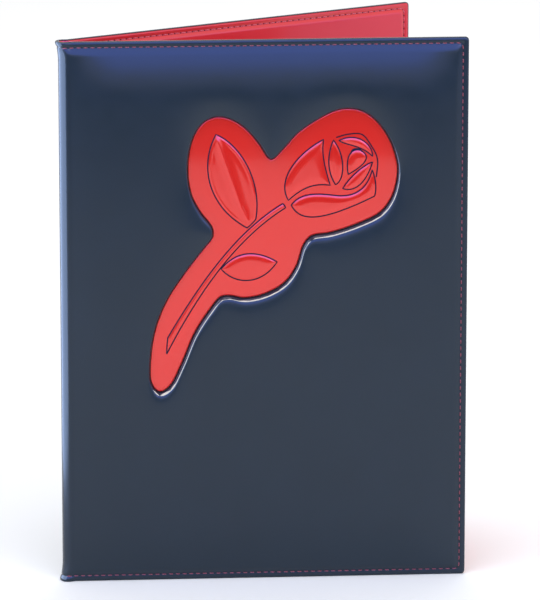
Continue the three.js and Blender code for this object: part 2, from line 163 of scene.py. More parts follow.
@dataclass(frozen=True)
class Finish:
    """A named material with one Principled shader."""

    name: str

    def inputs(self, tree: Tree) -> dict:
        """The shader's inputs, which each finish gives."""
        raise NotImplementedError

    def build(self) -> bpy.types.Material:
        """Build the material.

        Returns:
            The finished material.
        """
        material = bpy.data.materials.new(self.name)
        material.use_nodes = True
        tree = material.node_tree
        tree.nodes.clear()
        shader = add_node(tree, "ShaderNodeBsdfPrincipled", self.inputs(tree))
        add_node(tree, "ShaderNodeOutputMaterial", {"Surface": shader.outputs[0]})
        return material


@dataclass(frozen=True)
class Leatherette(Finish):
    """Calendered polyurethane leatherette: a smooth skin with a satin top coat and a fine haircell grain."""

    colour: str
    mottle: str
    roughness: float
    coat: float
    coat_roughness: float
    specular: float = 0.5
    grain_mm: float = 0.55
    grain_depth_mm: float = 0.012
    grain_strength: float = 0.35
    mottle_mm: float = 38.0
    handling_mm: float = 9.0
    handling_detail: float = 3.0
    roughness_swing: float = 0.04

    def inputs(self, tree: Tree) -> dict:
        """A mottled skin with grain, whose sheen varies a little as if from handling.

        Args:
            tree: The material's nodes.

        Returns:
            Each shader input's name with its value or link.
        """
        place = object_mm(tree)
        grain = add_node(tree, "ShaderNodeTexVoronoi", {"Vector": place, "Scale": 1 / self.grain_mm})
        handling = noise(tree, place, self.handling_mm, self.handling_detail)
        return {
            "Base Color": two_tone(tree, noise(tree, place, self.mottle_mm), self.colour, self.mottle),
            "Roughness": varied(tree, handling, self.roughness, self.roughness_swing),
            "Normal": bumped(tree, grain.outputs["Distance"], self.grain_strength, self.grain_depth_mm),
            "Specular IOR Level": self.specular,
            "Coat Weight": self.coat,
            "Coat Roughness": self.coat_roughness}


@dataclass(frozen=True)
class LacqueredMetal(Finish):
    """Pressed sheet metal under a transparent red lacquer: metallic glints below a glassy coat."""

    colour: str
    metallic: float
    roughness: float
    coat_roughness: float
    coat: float = 0.8
    flake_mm: float = 0.5
    roughness_swing: float = 0.05

    def inputs(self, tree: Tree) -> dict:
        """A metallic base with fine flakes, under a clear coat.

        Args:
            tree: The material's nodes.

        Returns:
            Each shader input's name with its value or link.
        """
        flakes = noise(tree, object_mm(tree), self.flake_mm, 1.0)
        return {
            "Base Color": linear(self.colour),
            "Metallic": self.metallic,
            "Roughness": varied(tree, flakes, self.roughness, self.roughness_swing),
            "Coat Weight": self.coat,
            "Coat Roughness": self.coat_roughness}


@dataclass(frozen=True)
class SewingThread(Finish):
    """Twisted polyester thread: dull, with a fine diagonal ply."""

    colour: str
    shade: str
    roughness: float = 0.6
    ply_mm: float = 0.35
    ply_strength: float = 0.4
    ply_depth_mm: float = 0.05

    def inputs(self, tree: Tree) -> dict:
        """Two tones and a bump that follow the ply.

        Args:
            tree: The material's nodes.

        Returns:
            Each shader input's name with its value or link.
        """
        bands = {"Vector": object_mm(tree), "Scale": 1 / (self.ply_mm * 6.3), "Distortion": 1.5}
        ply = add_node(tree, "ShaderNodeTexWave", bands, bands_direction="DIAGONAL").outputs["Fac"]
        return {
            "Base Color": two_tone(tree, ply, self.colour, self.shade),
            "Roughness": self.roughness,
            "Normal": bumped(tree, ply, self.ply_strength, self.ply_depth_mm)}


@dataclass(frozen=True)
class PlainBody(Finish):
    """A dull, finely speckled body: foam, grey board, foam tape, enamel lines and needle holes."""

    colour: str
    roughness: float
    speckle_mm: float
    depth_mm: float
    specular: float = 0.5
    strength: float = 0.4

    def inputs(self, tree: Tree) -> dict:
        """One colour under a speckled bump.

        Args:
            tree: The material's nodes.

        Returns:
            Each shader input's name with its value or link.
        """
        speckle = noise(tree, object_mm(tree), self.speckle_mm)
        return {
            "Base Color": linear(self.colour),
            "Roughness": self.roughness,
            "Normal": bumped(tree, speckle, self.strength, self.depth_mm),
            "Specular IOR Level": self.specular}


@dataclass(frozen=True)
class MattCard(Finish):
    """Matt paint of the stage's cards, without highlights."""

    colour: str
    roughness: float = 0.9

    def inputs(self, tree: Tree) -> dict:
        """One dull colour."""
        return {"Base Color": linear(self.colour), "Roughness": self.roughness, "Specular IOR Level": 0.0}


# Shape helpers: arrays of points in millimetres


def ease(x: Array, low: float, high: float) -> Array:
    """Smooth step: 0 below low, 1 above high, and 3t^2 - 2t^3 between.

    Args:
        x: Where the step is read.
        low: Where it starts to rise.
        high: Where it reaches 1.

    Returns:
        The step's height at each x.
    """
    t = np.clip((x - low) / (high - low), 0.0, 1.0)
    return t * t * (3 - 2 * t)


def soft_profile(knots: Pairs, x: Array, blur: float) -> Array:
    """A run of straight lines through knots, averaged over a short window so that its corners are round.

    Args:
        knots: Distance and height of each corner.
        x: Where the profile is read.
        blur: Half width of the window.

    Returns:
        The height at each x: the mean of the straight run at seven places x + k * blur, for k from
        -1 to 1, each weighted by 1 - 0.7 k^2.
    """
    at, height = np.array(knots).T
    shifts = np.linspace(-1.0, 1.0, 7)
    weights = 1 - 0.7 * shifts**2
    stack = [w * np.interp(x + k * blur, at, height) for k, w in zip(shifts, weights)]
    return np.sum(stack, axis=0) / weights.sum()


def cubic_outline(curve: Pairs, steps: int) -> Array:
    """A closed run of cubic curves, anticlockwise.

    Args:
        curve: A start point, then two control points and an end point for each curve.
        steps: Points on each curve.

    Returns:
        Points (n, 2): B(t) = (1-t)^3 a + 3(1-t)^2 t b + 3(1-t) t^2 c + t^3 d.
    """
    t = np.linspace(0, 1, steps, endpoint=False)[:, None]
    points = np.array(curve, float)
    runs = [
        (1 - t) ** 3 * points[i] + 3 * (1 - t) ** 2 * t * points[i + 1]
        + 3 * (1 - t) * t**2 * points[i + 2] + t**3 * points[i + 3]
        for i in range(0, len(points) - 1, 3)
    ]
    ring = np.concatenate(runs)
    return ring if shoelace(ring) > 0 else ring[::-1]


def shoelace(ring: Array) -> float:
    """Signed area of a closed ring: positive when anticlockwise."""
    after = np.roll(ring, -1, axis=0)
    return float(np.sum(ring[:, 0] * after[:, 1] - after[:, 0] * ring[:, 1]) / 2)


def smooth_loop(points: Pairs, count: int) -> Array:
    """A closed centripetal Catmull-Rom curve through points, evenly spaced along its length.

    Args:
        points: What the curve passes through, in order.
        count: How many points the result has.

    Returns:
        Points (count, 2), anticlockwise.
    """
    p1 = np.array(points, float)
    p0, p2, p3 = np.roll(p1, 1, 0), np.roll(p1, -1, 0), np.roll(p1, -2, 0)

    def gap(a: Array, b: Array) -> Array:
        """Square root of the distance between points."""
        return np.sqrt(np.linalg.norm(b - a, axis=1))[:, None]

    d0, d1, d2 = gap(p0, p1), gap(p1, p2), gap(p2, p3)
    m1 = ((p1 - p0) / d0 - (p2 - p0) / (d0 + d1) + (p2 - p1) / d1) * d1
    m2 = ((p2 - p1) / d1 - (p3 - p1) / (d1 + d2) + (p3 - p2) / d2) * d1
    t = np.linspace(0, 1, 24, endpoint=False)[None, :, None]
    a, b, c, d = (x[:, None, :] for x in (p1, p2, m1, m2))
    dense = ((2 * t**3 - 3 * t**2 + 1) * a + (t**3 - 2 * t**2 + t) * c
             + (3 * t**2 - 2 * t**3) * b + (t**3 - t**2) * d)
    return even_ring(dense.reshape(-1, 2), count)


def open_curve(points: Pairs, count: int) -> Array:
    """A smooth open curve through points: a Catmull-Rom cubic in the point's number.

    Args:
        points: What the curve passes through, in order.
        count: How many points the result has.

    Returns:
        Points (count, 2).
    """
    p = np.array(points, float)
    p = np.vstack([2 * p[0] - p[1], p, 2 * p[-1] - p[-2]])
    at = np.linspace(0, len(points) - 1, count)
    i = np.minimum(at.astype(int), len(points) - 2)
    t = (at - i)[:, None]
    a, b, c, d = p[i], p[i + 1], p[i + 2], p[i + 3]
    return b + t * (c - a) / 2 + t**2 * (a - 2.5 * b + 2 * c - d / 2) + t**3 * (1.5 * (b - c) + (d - a) / 2)


def pairs(s: Array | float, z: Array | float) -> Array:
    """Points (n, 2) from two runs of values, or from a run and one value."""
    return np.stack(np.broadcast_arrays(s, z), 1)


def even_ring(ring: Array, count: int) -> Array:
    """A closed ring read again at equal steps along its length, anticlockwise.

    Args:
        ring: The ring's points (n, 2).
        count: How many points the result has.

    Returns:
        Points (count, 2).
    """
    closed = np.vstack([ring, ring[:1]])
    along = np.concatenate([[0], np.cumsum(np.linalg.norm(np.diff(closed, axis=0), axis=1))])
    at = np.linspace(0, along[-1], count, endpoint=False)
    even = np.stack([np.interp(at, along, closed[:, k]) for k in (0, 1)], axis=1)
    return even if shoelace(even) > 0 else even[::-1]


def ring_normals(ring: Array) -> Array:
    """Outward unit normals of an anticlockwise ring, from its neighbours' chord.

    Args:
        ring: The ring's points (n, 2).

    Returns:
        One normal for each point (n, 2).
    """
    tangent = np.roll(ring, -1, 0) - np.roll(ring, 1, 0)
    tangent /= np.linalg.norm(tangent, axis=1)[:, None]
    return pairs(tangent[:, 1], -tangent[:, 0])


def ring_distance(points: Array, ring: Array) -> Array:
    """Signed distance of points to a closed ring: negative inside.

    Args:
        points: Where it is measured, (n, 2).
        ring: The ring, (m, 2).

    Returns:
        The least distance to any edge of the ring, with the sign of an even-odd test.
    """
    result = np.empty(len(points))
    a, b = ring, np.roll(ring, -1, 0)
    edge = b - a
    length2 = np.maximum((edge**2).sum(1), 1e-12)
    for start in range(0, len(points), CHUNK):
        p = points[start : start + CHUNK, None, :]
        t = np.clip(((p - a) * edge).sum(2) / length2, 0, 1)
        gap = np.sqrt((((p - a) - t[..., None] * edge) ** 2).sum(2)).min(1)
        crosses = (a[:, 1] > p[..., 1]) != (b[:, 1] > p[..., 1])
        rise = np.where(b[:, 1] == a[:, 1], 1e-12, b[:, 1] - a[:, 1])
        at_x = a[:, 0] + (p[..., 1] - a[:, 1]) * edge[:, 0] / rise
        inside = (crosses & (p[..., 0] < at_x)).sum(1) % 2 == 1
        result[start : start + CHUNK] = np.where(inside, -gap, gap)
    return result


def triangulate(points: Array, loops: list[Array]) -> tuple[Array, Array]:
    """Delaunay triangles over points, kept to the edges of closed loops of them.

    Args:
        points: Flat points, (n, 2).
        loops: Index rings whose edges have to be in the result.

    Returns:
        Points and triangles, anticlockwise.
    """
    edges = [pair for loop in loops for pair in zip(loop.tolist(), np.roll(loop, -1).tolist())]
    verts, _, faces, *_ = delaunay_2d_cdt([Vector(p) for p in points.tolist()], edges, [], 0, 1e-6)
    flat = np.array([tuple(v) for v in verts])
    triangles = np.array(faces)
    a, b, c = (flat[triangles[:, k]] for k in range(3))
    area = (b[:, 0] - a[:, 0]) * (c[:, 1] - a[:, 1]) - (c[:, 0] - a[:, 0]) * (b[:, 1] - a[:, 1])
    triangles[area < 0] = triangles[area < 0][:, ::-1]
    return flat, triangles[np.abs(area) > 1e-9]


def border_edges(triangles: Array) -> Array:
    """Directed edges that belong to one triangle only.

    Args:
        triangles: Point numbers (n, 3).

    Returns:
        Edges as pairs of point numbers.
    """
    edges = np.concatenate([triangles[:, [0, 1]], triangles[:, [1, 2]], triangles[:, [2, 0]]])
    key = np.sort(edges, axis=1)
    _, first, counts = np.unique(key, axis=0, return_index=True, return_counts=True)
    return edges[first[counts == 1]]


def in_chunks(index: Array) -> list[Array]:
    """An index array in runs short enough for a table of their points against a whole ring."""
    return np.array_split(index, max(1, len(index) // CHUNK))


def squared_gaps(points: Array, ring: Array) -> Array:
    """Squared distance of every point to every point of a ring."""
    return ((points[:, None, :] - ring) ** 2).sum(2)


def calm_distance(points: Array, ring: Array, exact: Array, power: float = 7.0) -> Array:
    """Distance to a ring without the creases that the plain distance has inside its bends.

    Close to the ring it is the plain distance. Further out it is (sum of d^-p over the ring's
    evenly spaced points, divided by the same sum along an endless straight line)^(-1 / (p - 1)).

    Args:
        points: Where it is measured, (n, 2).
        ring: The ring, (m, 2).
        exact: The plain distance at each point.
        power: The p above: the higher, the nearer to the plain distance.

    Returns:
        The calm distance at each point.
    """
    fine = even_ring(ring, 1100)
    spacing = float(np.linalg.norm(fine[1] - fine[0]))
    steps, step = 4000, 0.01
    line = np.arange(-steps, steps + 1) * step
    unit = float(np.sum((1 + line**2) ** (-power / 2)) * step) / spacing
    calm = exact.copy()
    too_near, too_far = 1.2, 40
    far = np.flatnonzero((exact > too_near) & (exact < too_far))
    for chunk in in_chunks(far):
        squared = squared_gaps(points[chunk], fine)
        calm[chunk] = ((squared ** (-power / 2)).sum(1) / unit) ** (-1 / (power - 1))
    near = 1 - ease(exact, 1.4, 4.0)
    return near * exact + (1 - near) * calm


def low_side(points: Array, ring: Array) -> Array:
    """Share by which the nearest stretch of a ring faces down and to the right, squared.

    Args:
        points: Where it is read, (n, 2).
        ring: The ring, (m, 2).

    Returns:
        The share at each point, 0 to 1: a mean over the ring, weighted by exp(-d^2 / 1.5) of the
        distance d. It is 0 further from the ring than the reach.
    """
    way, reach, spread = (0.42, -0.91), 8.0, 1.5
    even = even_ring(ring, 700)
    facing = np.clip(ring_normals(even) @ np.array(way), 0, 1) ** 2
    share = np.zeros(len(points))
    for chunk in in_chunks(np.flatnonzero(np.abs(ring_distance(points, ring)) < reach)):
        squared = squared_gaps(points[chunk], even)
        weight = np.exp(-(squared - squared.min(1, keepdims=True)) / spread)
        share[chunk] = (weight @ facing) / weight.sum(1)
    return share


def make_mesh(name: str, points_mm: Array, faces: list | Array, smooth: bool = True) -> Object:
    """Put points and faces into a mesh object that sits at the origin.

    Args:
        name: The object's name.
        points_mm: Its points in the row's frame, in millimetres.
        faces: Its faces.
        smooth: Whether it is smooth shaded.

    Returns:
        The new object.
    """
    mesh = bpy.data.meshes.new(name)
    faces = faces.tolist() if isinstance(faces, np.ndarray) else faces
    mesh.from_pydata((points_mm * MM).tolist(), [], faces)
    mesh.polygons.foreach_set("use_smooth", [smooth] * len(mesh.polygons))
    mesh.update()
    obj = bpy.data.objects.new(name, mesh)
    bpy.context.scene.collection.objects.link(obj)
    return obj


class Side(Enum):
    """The two covers, each with the body that carries it."""

    FRONT = "front_cover"
    BACK = "back_cover"


# The cover's frame, which every piece is placed by


@dataclass(frozen=True)
class CoverFrame:
    """Sizes of the folded cover in millimetres, and the way from a cover's own frame to the row's.

    In a cover's own frame s runs from the spine to the free edge, z up, and depth inwards from the
    middle of the wrap. A negative s is on the spine's fold.
    """

    height: float = 320.0
    width: float = 229.0
    opening: float = radians(26.2)
    hinge_spacing: float = 9.55
    board_setback: float = 2.8
    board_outer: float = 1.95
    leather: float = 0.9
    lining: float = 0.6
    hem: float = 3.4
    hem_depth: float = 2.1
    corner: float = 2.2
    corner_power: float = 7.0
    groove_end: float = 1.18
    crown: float = 2.6
    ramp: float = 32.0
    ramp_power: float = 2.3
    ramp_start: float = 2.0
    flare: float = 1.8
    flare_length: float = 12.0
    blend_start: float = 1.5

    @property
    def bend(self) -> float:
        """Angle that the spine's fold turns through."""
        return pi - self.opening

    @property
    def radius(self) -> float:
        """Radius of the fold, which keeps its length the same shut and laid open.

        Returns:
            The radius in millimetres.
        """
        half = self.opening / 2
        setback = (self.bend - 2 * cos(half)) / (1 - sin(half))
        return self.hinge_spacing / (self.bend - setback)

    @property
    def half_fold(self) -> float:
        """Length of half the fold."""
        return self.radius * self.bend / 2

    @property
    def reach(self) -> float:
        """From the fold's start to the spine's outermost line."""
        return self.radius + self.leather / 2

    @property
    def origin(self) -> Array:
        """Where the fold starts on the front cover, in the row's frame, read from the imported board."""
        low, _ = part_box("front_cover_board")
        return np.array([low[0] / MM - self.board_setback, low[1] / MM - self.board_outer, 0.0])

    def place(self, side: Side, s: Array, z: Array, depth: Array) -> Array:
        """Points of a cover in the row's frame.

        On the flat part a point is at (s, depth). On the fold it is on a circle of the fold's radius
        less the depth, at the angle -s / radius. The back cover is the front one mirrored about the
        middle of the fold.

        Args:
            side: Which cover.
            s: Distance from the fold's start towards the free edge.
            z: Height.
            depth: Depth inwards.

        Returns:
            Points (n, 3) in millimetres.
        """
        angle = np.clip(-s, 0, None) / self.radius
        reach = self.radius - depth
        x = np.where(s < 0, -reach * np.sin(angle), s)
        y = np.where(s < 0, self.radius - reach * np.cos(angle), depth)
        if side is Side.BACK:
            # Mirrored about the line through the fold's centre along the middle of the opening
            half = self.opening / 2
            along = x * cos(half) + (y - self.radius) * sin(half)
            across = -x * sin(half) + (y - self.radius) * cos(half)
            x = along * cos(half) + across * sin(half)
            y = self.radius + along * sin(half) - across * cos(half)
        return np.stack([x, y, z], axis=1) + self.origin

    def upright(self, z: Array) -> Array:
        """Distance to the nearer of the lower and upper edges."""
        return np.minimum(z, self.height - z)

    def inset(self, s: Array, z: Array) -> Array:
        """Distance to the three hemmed edges, rounded at the two free corners.

        Near the edge it is the distance to a rectangle with round corners. Further in it is the
        p-norm of the two distances, (a^-p + b^-p)^(-1/p), whose corners stay round.

        Args:
            s: Distance from the fold's start towards the free edge.
            z: Height.

        Returns:
            Distances in millimetres.
        """
        right, upright, power = self.width - s, self.upright(z), self.corner_power
        a, b = np.clip(self.corner - right, 0, None), np.clip(self.corner - upright, 0, None)
        in_corner = (a > 0) & (b > 0)
        round_box = np.where(in_corner, self.corner - np.hypot(a, b), np.minimum(right, upright))
        soft = (np.maximum(right, 0.05) ** -power + np.maximum(upright, 0.05) ** -power) ** (-1 / power)
        blend = ease(round_box, 0.8, 2.6)
        return (1 - blend) * round_box + blend * soft

    def lift(self, s: Array, z: Array) -> Array:
        """How far the foam lifts the wrap: crown times a rise from each edge, multiplied together.

        Each rise is 1 - (1 - d / ramp)^power of the distance d from the seam or the fold.

        Args:
            s: Distance from the fold's start towards the free edge.
            z: Height.

        Returns:
            The lift in millimetres.
        """
        def rise(distance: Array) -> Array:
            """Rise from one edge, started softly over about two millimetres."""
            soft = np.sqrt(np.clip(distance, 0, None) ** 2 + self.ramp_start**2) - self.ramp_start
            return 1 - (1 - np.clip(soft / self.ramp, 0, 1)) ** self.ramp_power

        seam = self.groove_end * self.hem
        return self.crown * rise(self.upright(z) - seam) * rise(self.width - s - seam) * rise(s)

    def flared(self, z: Array) -> Array:
        """Outward flare of the stiff stitched ends of the fold: flare times (1 - d / length)^2."""
        return self.flare * (1 - np.clip(self.upright(z) / self.flare_length, 0, 1)) ** 2

    def fold_share(self, s: Array) -> Array:
        """How much a point belongs to the fold rather than to the cover, 0 to 1."""
        return ease(-s, -2.0, 5.5)


# Sheets: the wrap and the lining of each cover


HEM_LINES = np.array([0.12, 0.3, 0.55, 0.9, 1.3, 1.75, 2.2, 2.6, 2.95, 3.25, 3.55, 3.85, 4.2, 4.6, 5.1, 5.7,
                      6.4, 7.3, 8.5, 10, 12, 14.5])
WINDOW_LINES = (0, 0.06, 0.12, 0.19, 0.27, 0.37, 0.5, 0.66, 0.86, 1.1, 1.4, 1.8, 2.4, 3.1, 4, 5.4, 7.2, 9.4,
                12, 15, 18.5)


@dataclass
class CoverSheet:
    """One sheet of a cover, from the middle of the fold to the free edge, with a hem on three sides."""

    frame: CoverFrame
    side: Side
    step: float = 3.6
    window: Array | None = None
    window_reach: float = 21.0
    fold_lines: int = 24
    fold_end: float = 4.5
    after_fold: float = 6.0
    after_hem: float = 17.5
    before_hem: float = 16.0
    edge_clear: float = 0.06
    corner_clear: float = 0.3
    ring_clear: float = 0.96

    def lines(self, length: float, from_fold: bool) -> Array:
        """Grid lines across the sheet: close together at the hem and at the fold.

        Args:
            length: How far the sheet reaches.
            from_fold: Whether it starts in the fold, not at a hem.

        Returns:
            The lines' places in order.
        """
        first, start = HEM_LINES, self.after_hem
        if from_fold:
            first, start = np.linspace(-self.frame.half_fold, self.fold_end, self.fold_lines), self.after_fold
        middle = np.arange(start, length - self.before_hem, self.step)
        return np.concatenate([first, middle, (length - HEM_LINES)[::-1]])

    def border(self) -> Array:
        """The sheet's outline: straight at the fold, with two rounded free corners, anticlockwise.

        Returns:
            Points (n, 2).
        """
        width, height, corner = self.frame.width, self.frame.height, self.frame.corner
        turn = np.linspace(0, pi / 2, 9)
        s_lines, z_lines = self.lines(width, True), self.lines(height, False)
        s_inner = s_lines[s_lines < width - corner - self.corner_clear]
        z_clear = (z_lines > corner + self.corner_clear) & (z_lines < height - corner - self.corner_clear)
        return np.concatenate([
            pairs(s_inner, 0.0),
            pairs(width - corner + corner * np.sin(turn), corner - corner * np.cos(turn)),
            pairs(width, z_lines[z_clear]),
            pairs(width - corner + corner * np.cos(turn), height - corner + corner * np.sin(turn)),
            pairs(s_inner, height)[::-1],
            pairs(-self.frame.half_fold, z_lines)[::-1]])

    def triangles(self) -> tuple[Array, Array]:
        """The sheet laid flat.

        Returns:
            Flat points (s, z) and triangles, with the window left open.
        """
        frame = self.frame
        border = self.border()
        loops = [np.arange(len(border))]
        s, z = np.meshgrid(self.lines(frame.width, True)[1:], self.lines(frame.height, False))
        grid = pairs(s.ravel(), z.ravel())
        grid = grid[frame.inset(grid[:, 0], grid[:, 1]) > self.edge_clear]
        parts = [border]
        if self.window is not None:
            normal = ring_normals(self.window)
            for offset in WINDOW_LINES:
                ring = self.window + offset * normal
                clear = ring_distance(ring, self.window) > offset * self.ring_clear - 1e-6
                parts.append(ring if offset == 0 else ring[clear])
            loops.append(len(border) + np.arange(len(self.window)))
            grid = grid[ring_distance(grid, self.window) > self.window_reach]
        flat, triangles = triangulate(np.concatenate(parts + [grid]), loops)
        if self.window is not None:
            middle = flat[triangles].mean(1)
            triangles = triangles[ring_distance(middle, self.window) > 0]
        return flat, triangles

    def build(self, name: str, near: Array, far: Array, flat: Array, triangles: Array) -> Object:
        """Close two faces of the sheet into one skin.

        Args:
            name: The object's name.
            near: Depth of the face that is nearer the cover's outside.
            far: Depth of the other face.
            flat: The flat points.
            triangles: The flat triangles.

        Returns:
            The sheet's object.
        """
        s, z = flat.T
        points = np.concatenate([self.frame.place(self.side, s, z, depth) for depth in (near, far)])
        count = len(flat)
        first, last = border_edges(triangles).T
        wall = [np.stack([last, first, first + count], 1), np.stack([last, first + count, last + count], 1)]
        faces = np.concatenate([triangles, triangles[:, ::-1] + count, *wall])
        if self.side is Side.BACK:
            faces = faces[:, ::-1]
        return make_mesh(name, points, faces)


# Profiles: distance from an edge, and depth there, in millimetres. The wrap has one at the hem and one
# at the fold's ends, for its outside and again (BEAD) for its hidden face. The lining's visible face has
# one at the hem, beside the fold and at the ends of the fold. The rim of the window is rolled, or steep on
# its low side.
WRAP_HEM = [(0, 1.6), (0.12, 1.2), (0.35, 0.88), (0.8, 0.66), (1.4, 0.56), (2.1, 0.58), (2.8, 0.66),
            (3.15, 0.78), (3.4, 0.84), (3.7, 0.76), (4.3, 0.45), (5.2, 0.05), (6.2, -0.28), (7.4, -0.45)]
WRAP_FOLD_HEM = [(0, 0.9), (0.12, 0.45), (0.35, 0.1), (0.8, -0.1), (1.4, -0.2), (2.0, -0.18), (2.6, 0.0),
                 (3.1, 0.25), (3.4, 0.32), (3.7, 0.25), (4.2, 0.05), (5.2, 0.0)]
WRAP_BEAD = [(0, 2.5), (0.12, 2.85), (0.3, 3.0), (0.5, 2.9), (0.75, 2.2), (4.0, 1.95), (5.2, 1.05),
             (6.5, 0.45)]
WRAP_FOLD_BEAD = [(0, 1.55), (0.12, 1.75), (0.3, 1.8), (0.5, 1.6), (0.75, 1.2), (4.0, 1.0), (5.2, 0.45)]
LINING_HEM = [(0, 1.9), (0.3, 2.1), (0.5, 2.7), (0.7, 3.15), (1.0, 3.32), (1.4, 3.38), (2.0, 3.36),
              (2.6, 3.18), (3.1, 2.9), (3.4, 2.82), (3.7, 2.95), (4.2, 3.45), (5.0, 4.3), (5.6, 4.6),
              (6.3, 4.65)]
LINING_LOW_HEM = [(0, 1.6), (0.3, 1.8), (0.5, 2.3), (0.8, 2.65), (2.0, 2.7), (3.4, 2.3)]
LINING_FOLD_HEM = [(0, 1.0), (0.3, 1.1), (0.5, 1.5), (0.8, 1.85), (2.0, 1.85), (3.4, 1.6)]
WINDOW_LIP = [(0, 4.2), (0.07, 3.6), (0.16, 2.85), (0.3, 2.15), (0.5, 1.6), (0.78, 1.22), (1.15, 1.0),
              (1.65, 0.88), (2.4, 0.75), (4, 0.56), (7, 0.34), (11, 0.17), (16, 0.06), (21, 0)]
WINDOW_WALL = [(0, 4.2), (0.3, 3.4), (1.5, 1.35), (1.7, 1.1), (2.0, 0.95), (2.6, 0.8), (4, 0.56), (7, 0.34),
               (11, 0.17), (16, 0.06), (21, 0)]
HEM_BLUR = 0.16


@dataclass
class Wrap:
    """The leatherette outside of a cover, lifted by the foam and turned down round the window."""

    frame: CoverFrame
    side: Side
    window: Array | None = None
    bead_blur: float = 0.1
    lip_blur: float = 0.05
    wall_blur: float = 0.08
    least_thickness: float = 0.3

    def outer(self, s: Array, z: Array) -> Array:
        """Depth of the wrap's outside: the hem's profile less the lift, eased into the fold's own.

        Args:
            s: Distance from the fold's start towards the free edge.
            z: Height.

        Returns:
            Depths in millimetres, smaller towards the outside.
        """
        frame = self.frame
        panel = soft_profile(WRAP_HEM, frame.inset(s, z), HEM_BLUR) - frame.lift(s, z)
        fold_hem = soft_profile(WRAP_FOLD_HEM, frame.upright(z), HEM_BLUR)
        fold = -frame.leather / 2 - frame.flared(z) + fold_hem
        share = frame.fold_share(s)
        return (1 - share) * panel + share * fold

    def inner(self, s: Array, z: Array, outer: Array) -> Array:
        """Depth of the wrap's hidden face, one leather thickness in, or at the seam in the hem.

        Args:
            s: Distance from the fold's start towards the free edge.
            z: Height.
            outer: Depth of the outside there.

        Returns:
            Depths in millimetres.
        """
        frame = self.frame
        hem = soft_profile(WRAP_BEAD, frame.inset(s, z), self.bead_blur) - frame.lift(s, z)
        share = frame.fold_share(s)
        seam = -frame.flared(z) + soft_profile(WRAP_FOLD_BEAD, frame.upright(z), self.bead_blur)
        return np.maximum((1 - share) * hem + share * seam, outer + self.least_thickness)

    def drop(self, flat: Array) -> Array:
        """How far the wrap dips towards the window: a rolled lip, or a steep wall on its low side.

        Args:
            flat: Points (n, 2) on the wrap.

        Returns:
            The dip in millimetres.
        """
        calm = calm_distance(flat, self.window, np.clip(ring_distance(flat, self.window), 0, None))
        low = low_side(flat, self.window)
        lip = soft_profile(WINDOW_LIP, calm, self.lip_blur)
        return (1 - low) * lip + low * soft_profile(WINDOW_WALL, calm, self.wall_blur)

    def build(self) -> Object:
        """Build the wrap.

        Returns:
            The wrap's object.
        """
        sheet = CoverSheet(self.frame, self.side, window=self.window)
        flat, triangles = sheet.triangles()
        outer = self.outer(*flat.T)
        inner = self.inner(*flat.T, outer)
        if self.window is not None:
            drop = self.drop(flat)
            outer, inner = outer + drop, inner + drop
        piece = sheet.build(f"{self.side.value}_wrap", outer, inner, flat, triangles)
        return piece


@dataclass
class Lining:
    """The glossy lining of a cover, let down over the board's edge into the fold."""

    frame: CoverFrame
    side: Side
    step: float = 7.0
    layer_gap: float = 0.3
    low_blur: float = 0.2
    fold_blur: float = 0.15
    seam_run: tuple[float, float] = (3.4, 5.0)
    board_run: tuple[float, float] = (0.2, 2.6)
    edge_run: tuple[float, float] = (-0.6, 0.5)
    least_thickness: float = 0.25

    def inner(self, s: Array, z: Array) -> Array:
        """Depth of the lining's visible face: flat on the board, stepped down at the fold and the hem.

        Args:
            s: Distance from the fold's start towards the free edge.
            z: Height.

        Returns:
            Depths in millimetres.
        """
        frame = self.frame
        upright = frame.upright(z)
        in_fold = (self.seam_run[1], frame.leather / 2 + self.layer_gap + frame.lining)
        over_board = ease(s, *self.board_run)
        hem = soft_profile(LINING_HEM, frame.inset(s, z), HEM_BLUR)
        low_hem = soft_profile([*LINING_LOW_HEM, in_fold], upright, self.low_blur)
        panel = over_board * hem + (1 - over_board) * low_hem
        fold = soft_profile([*LINING_FOLD_HEM, in_fold], upright, self.fold_blur) - frame.flared(z)
        share = frame.fold_share(s)
        return (1 - share) * panel + share * fold

    def build(self) -> Object:
        """Build the lining.

        Returns:
            The lining's object.
        """
        frame = self.frame
        sheet = CoverSheet(frame, self.side, step=self.step)
        flat, triangles = sheet.triangles()
        s, z = flat.T
        inset, inner = frame.inset(s, z), self.inner(s, z)
        thickness = frame.lining * ease(inset, *self.edge_run)
        seam = (1 - frame.fold_share(s)) * frame.hem_depth - 10 * ease(inset, *self.seam_run)
        outer = np.maximum(inner - thickness, np.minimum(seam, inner - self.least_thickness))
        piece = sheet.build(f"{self.side.value}_lining_skin", outer, inner, flat, triangles)
        return piece



# Stitches


